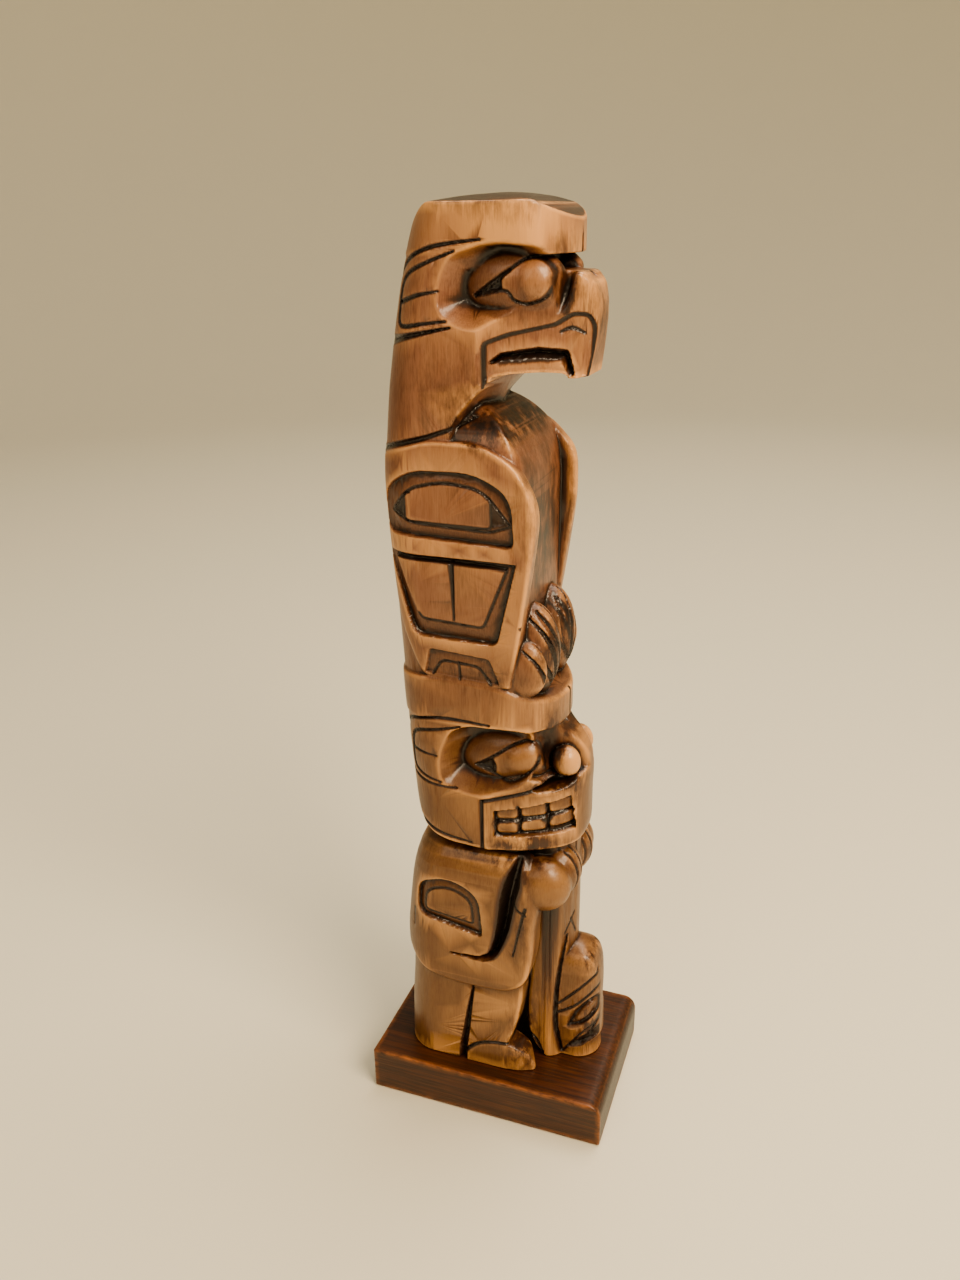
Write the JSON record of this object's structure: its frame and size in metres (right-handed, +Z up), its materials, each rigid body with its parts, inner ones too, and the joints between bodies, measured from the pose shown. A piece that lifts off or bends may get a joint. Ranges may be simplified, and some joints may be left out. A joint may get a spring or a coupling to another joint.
{
  "type": "totem pole",
  "caption": "Small carved wooden totem pole: a thunderbird perched over a bear holding a tall board, with a little head at its foot, on a plinth board.",
  "frame": {"origin": "middle of the plinth's underside", "axes": "+Z up; the carved faces look along -Y; +X is the figures' left"},
  "size_m": [0.066, 0.096, 0.343],
  "materials": {
    "stained_plinth_wood": "dark red-brown stained board, satin varnish, lengthwise grain, worn orange top edges",
    "stained_carving_wood": "honey to pinkish brown stained softwood, satin varnish, dark antique stain in the cuts"
  },
  "bodies": {
    "root": {"plinth_board": "stained_plinth_wood", "carved_figure": "stained_carving_wood"}
  },
  "joints": []
}
